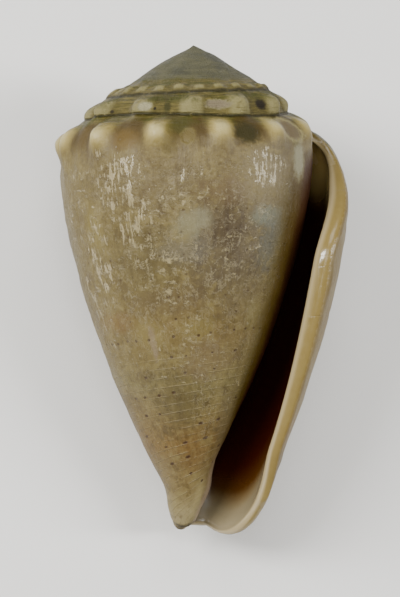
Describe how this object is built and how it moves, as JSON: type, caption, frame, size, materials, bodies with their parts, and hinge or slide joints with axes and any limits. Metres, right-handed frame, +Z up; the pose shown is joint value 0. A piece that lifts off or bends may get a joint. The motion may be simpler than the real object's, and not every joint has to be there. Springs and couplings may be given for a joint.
{
  "type": "cone shell",
  "caption": "Heavy sea snail shell, a cone with a low knobbed spire, a worn spotted surface and a long slit mouth, lying on its back with the mouth upwards.",
  "frame": {"origin": "centre of the bounding box's underside, on the surface that the shell lies on", "axes": "+Z up out of the surface, +Y towards the tip of the spire, +X towards the lip, with the mouth upwards"},
  "size_m": [0.0264, 0.044, 0.0251],
  "materials": {
    "shell": "worn"
  },
  "bodies": {
    "root": {"shell": "shell"}
  },
  "joints": []
}
